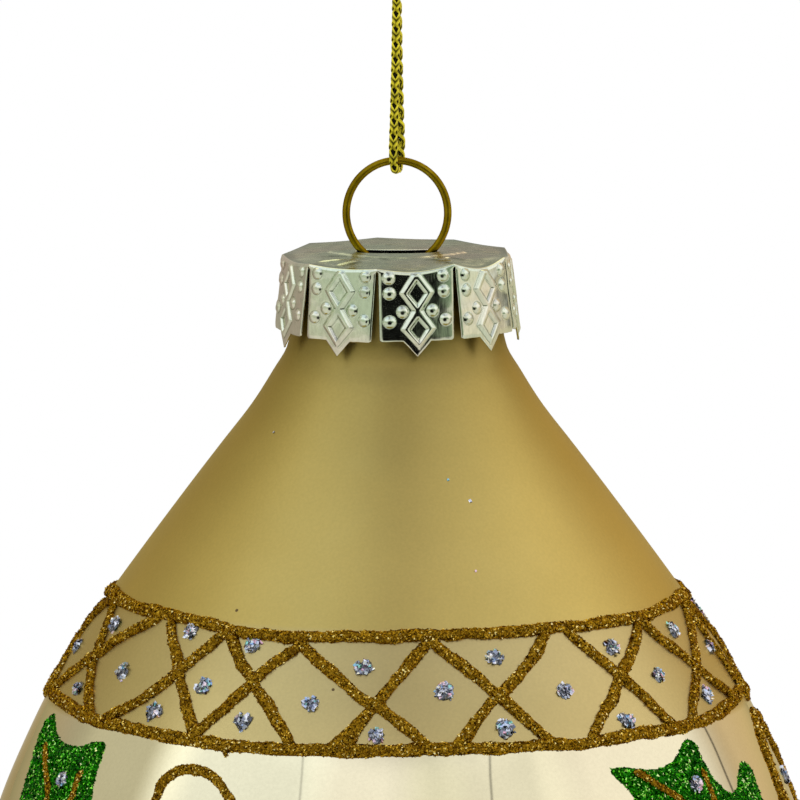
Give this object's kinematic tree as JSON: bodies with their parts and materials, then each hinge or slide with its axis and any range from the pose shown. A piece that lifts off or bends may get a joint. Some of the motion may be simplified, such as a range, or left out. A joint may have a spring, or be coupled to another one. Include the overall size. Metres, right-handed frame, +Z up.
{
  "type": "finial ornament",
  "caption": "Hanging blown-glass finial ornament: pointed drop body with raised lattice bands, crown cap, wire ring hanger and knotted cord loop.",
  "frame": {"origin": "the inner top of the cord's hanging loop, where a hook carries the ornament", "axes": "+Z up along the ornament's long axis; -Y is the front, seen in the picture; +X to the right of the front"},
  "size_m": [0.091, 0.091, 0.2375],
  "materials": {
    "cord": "braided metallic thread",
    "wire": "aged",
    "cap": "stamped tinplate",
    "glass": "satin gold and glossy champagne coatings",
    "glitter": "gold glitter"
  },
  "bodies": {
    "hanging_cord": {"cord_hanging_loop": "cord", "cord_knot": "cord"},
    "ring_cord": {"cord_ring_loop": "cord"},
    "hanger": {"wire_hanger": "wire"},
    "cap": {"crown_cap": "cap"},
    "ornament": {"glass_body": "glass", "glitter_lattice_upper": "glitter", "glitter_lattice_lower": "glitter"}
  },
  "joints": [
    {"name": "cord_bend", "type": "hinge", "parent": "hanging_cord", "child": "ring_cord", "pos_m": [0, 0, -0.0407], "axis": [0, 1, 0], "range_deg": [-60, 60]},
    {"name": "ring_swing", "type": "hinge", "parent": "ring_cord", "child": "hanger", "pos_m": [0, 0, -0.0603], "axis": [1, 0, 0], "range_deg": [-90, 90]},
    {"name": "hanger_rock", "type": "hinge", "parent": "hanger", "child": "cap", "pos_m": [0, 0, -0.07018], "axis": [1, 0, 0], "range_deg": [-8, 8]},
    {"name": "glass_release", "type": "slide", "parent": "cap", "child": "ornament", "axis": [0, 0, -1], "range_m": [0, 0.024]}
  ]
}
